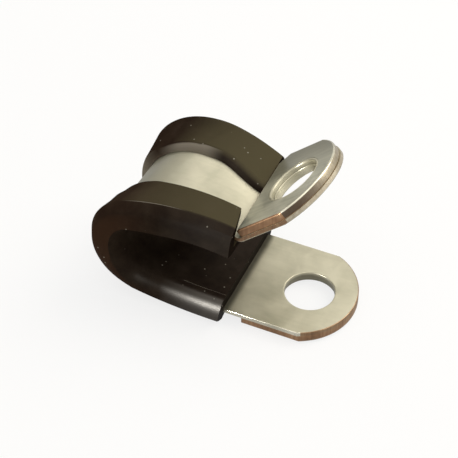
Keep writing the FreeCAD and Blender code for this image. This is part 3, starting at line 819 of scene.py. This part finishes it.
    # the cut ends are dull
    end = add_node(tree, "ShaderNodeMapRange",
                   values={"From Min": 0.5, "From Max": 0.9, "To Min": 1.0, "To Max": 0.1},
                   links={"Value": facing.outputs["X"]})
    gleam = add_node(tree, "ShaderNodeMath", {"operation": "MULTIPLY"}, None,
                     {0: shine.outputs["Result"], 1: end.outputs["Result"]})
    gleam = add_node(tree, "ShaderNodeMath", {"operation": "MULTIPLY"}, None,
                     {0: gleam.outputs["Value"], 1: rubbed.outputs["Result"]})
    front = add_node(tree, "ShaderNodeMapRange",
                     values={"From Min": -0.1, "From Max": -0.5, "To Min": 0.12, "To Max": 1.0},
                     links={"Value": facing.outputs["Y"]})
    gleam = add_node(tree, "ShaderNodeMath", {"operation": "MULTIPLY"}, None,
                     {0: gleam.outputs["Value"], 1: front.outputs["Result"]})
    dull = add_node(tree, "ShaderNodeMapRange",
                    values={"From Min": 0.006, "From Max": 0.011, "To Min": 0.0, "To Max": 0.28},
                    links={"Value": at.outputs["Z"]})
    matt_above = add_node(tree, "ShaderNodeMath", {"operation": "ADD"}, None,
                          {0: gloss.outputs["Result"], 1: dull.outputs["Result"]})
    surface = add_node(tree, "ShaderNodeBsdfPrincipled",
                       values={"IOR": 1.52, "Specular Tint": linear("fff9ee")},
                       links={"Base Color": spotted.outputs["Result"],
                              "Roughness": matt_above.outputs["Value"],
                              "Specular IOR Level": gleam.outputs["Value"],
                              "Normal": bump.outputs["Normal"]})
    add_node(tree, "ShaderNodeOutputMaterial", links={"Surface": surface.outputs["BSDF"]})
    return material


BLACK_BROWNS = ("241c17", "2c241d", "362d26")
DUST_AND_TOP_LIGHT_OLIVE = "4e4836"
# dark and softly shining, with a few pale specks, and an olive top of settled dust and painted light from
# above
lining_rubber = rubber("epdm_rubber_satin", BLACK_BROWNS, DUST_AND_TOP_LIGHT_OLIVE, 0.36, 0.6)
# the same rubber, pale grey along edges with crease wear and a painted highlight, which draws thin light
# lines
pale_line_rubber = rubber("epdm_rubber_pale_line", BLACK_BROWNS, DUST_AND_TOP_LIGHT_OLIVE, 0.42, 0.6, "827b6f")

RUBBER_CREASE = math.radians(33)
rubber_channel = piece_from(lining, "rubber_channel", [lining_rubber, pale_line_rubber])
finish_mesh(rubber_channel, RUBBER_CREASE)
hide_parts("rubber_lining")


# Table, light and camera
# A white paper sweep under soft light from above and behind, seen from the near
# side, 24 degrees round towards the lugs and 45 degrees from above.

def area_light(name, place, aim, size, power, colour):
    """Rectangular softbox turned towards a point."""
    lamp = bpy.data.lights.new(name, "AREA")
    lamp.shape = "RECTANGLE"
    lamp.size, lamp.size_y = size
    lamp.energy = power
    lamp.color = linear(colour)[:3]
    holder = bpy.data.objects.new(name, lamp)
    bpy.context.scene.collection.objects.link(holder)
    holder.location = place
    holder.rotation_euler = (Vector(aim) - Vector(place)).to_track_quat("-Z", "Y").to_euler()
    return holder


TABLE_HALF = 0.6
TABLE_LEVEL = -0.0003
table_mesh = bmesh.new()
bmesh.ops.create_grid(table_mesh, x_segments=1, y_segments=1, size=TABLE_HALF)
bmesh.ops.translate(table_mesh, vec=(0, 0, TABLE_LEVEL), verts=table_mesh.verts)
mesh = bpy.data.meshes.new("table")
table_mesh.to_mesh(mesh)
table_mesh.free()
table = bpy.data.objects.new("table", mesh)
bpy.context.scene.collection.objects.link(table)

# a plain white ground that the clip's soft shadow barely tints
paper, tree = new_material("white_paper_sweep")
matt = add_node(tree, "ShaderNodeBsdfDiffuse", values={"Color": linear("f2f1ee")})
rays = add_node(tree, "ShaderNodeLightPath")
# reflected, the paper is a duller white than the camera sees
level = add_node(tree, "ShaderNodeMapRange", values={"To Min": 1.0, "To Max": 0.55},
                 links={"Value": rays.outputs["Is Glossy Ray"]})
glow = add_node(tree, "ShaderNodeEmission", values={"Color": linear("ffffff")},
                links={"Strength": level.outputs["Result"]})
shown = add_node(tree, "ShaderNodeMath", {"operation": "MULTIPLY_ADD"}, {1: 0.8},
                 {0: rays.outputs["Is Camera Ray"], 2: rays.outputs["Is Glossy Ray"]})
paper_mix = add_node(tree, "ShaderNodeMixShader",
                     links={"Fac": shown.outputs["Value"], 1: matt.outputs["BSDF"],
                            2: glow.outputs["Emission"]})
add_node(tree, "ShaderNodeOutputMaterial", links={"Surface": paper_mix.outputs["Shader"]})
mesh.materials.append(paper)

world = bpy.data.worlds.new("studio")
bpy.context.scene.world = world
world.use_nodes = True
tree = world.node_tree
tree.nodes.clear()
rays = add_node(tree, "ShaderNodeLightPath")
# bright behind the clip, dim on the camera's side
way = add_node(tree, "ShaderNodeVectorMath", {"operation": "DOT_PRODUCT"}, {1: (-0.1, -0.9, -0.42)},
               {0: add_node(tree, "ShaderNodeTexCoord").outputs["Generated"]})
window = add_node(tree, "ShaderNodeMapRange",
                  values={"From Min": 0.45, "From Max": 0.8, "To Min": 1.0, "To Max": 0.2},
                  links={"Value": way.outputs["Value"]})
room = add_node(tree, "ShaderNodeBackground", values={"Color": linear("ece8e0"), "Strength": 0.5})
mirrored = add_node(tree, "ShaderNodeBackground", values={"Color": linear("fbf9f4")},
                    links={"Strength": window.outputs["Result"]})
seen = add_node(tree, "ShaderNodeBackground", values={"Color": linear("ffffff"), "Strength": 1.0})
inner_sky = add_node(tree, "ShaderNodeMixShader",
                     links={"Fac": rays.outputs["Is Glossy Ray"], 1: room.outputs["Background"],
                            2: mirrored.outputs["Background"]})
sky = add_node(tree, "ShaderNodeMixShader",
               links={"Fac": rays.outputs["Is Camera Ray"], 1: inner_sky.outputs["Shader"],
                      2: seen.outputs["Background"]})
add_node(tree, "ShaderNodeOutputWorld", links={"Surface": sky.outputs["Shader"]})

middle = Vector((-0.01, 0, 0.008))
area_light("back_softbox", middle + Vector((0.22, 0.2, 0.3)), middle, (0.3, 0.3), 1.1, "fffaf0")
area_light("top_softbox", middle + Vector((-0.02, 0, 0.5)), middle, (0.6, 0.6), 1.15, "ffffff")
# the highlight along the rubber's floor comes from this lamp, which lights nothing else
spark = area_light("front_lamp", middle + Vector((-0.16, -0.36, 0.055)), middle, (0.12, 0.1), 2.6, "ffffff")
spark.visible_diffuse = False

camera_data = bpy.data.cameras.new("camera")
camera = bpy.data.objects.new("camera", camera_data)
bpy.context.scene.collection.objects.link(camera)
bpy.context.scene.camera = camera
CAMERA_TURN = math.radians(24.08)
CAMERA_LIFT = math.radians(44.87)
CAMERA_DISTANCE = 0.22
away = Vector((math.sin(CAMERA_TURN) * math.cos(CAMERA_LIFT),
               -math.cos(CAMERA_TURN) * math.cos(CAMERA_LIFT), math.sin(CAMERA_LIFT)))
aim = Vector((-11.81, 0.65, 7.7)) * MM
camera.location = aim + away * CAMERA_DISTANCE
camera.rotation_euler = away.to_track_quat("Z", "Y").to_euler()
camera_data.lens = 132.86
camera_data.sensor_width = 36.0
camera_data.clip_start = 0.01
bpy.context.scene.view_settings.view_transform = "Standard"
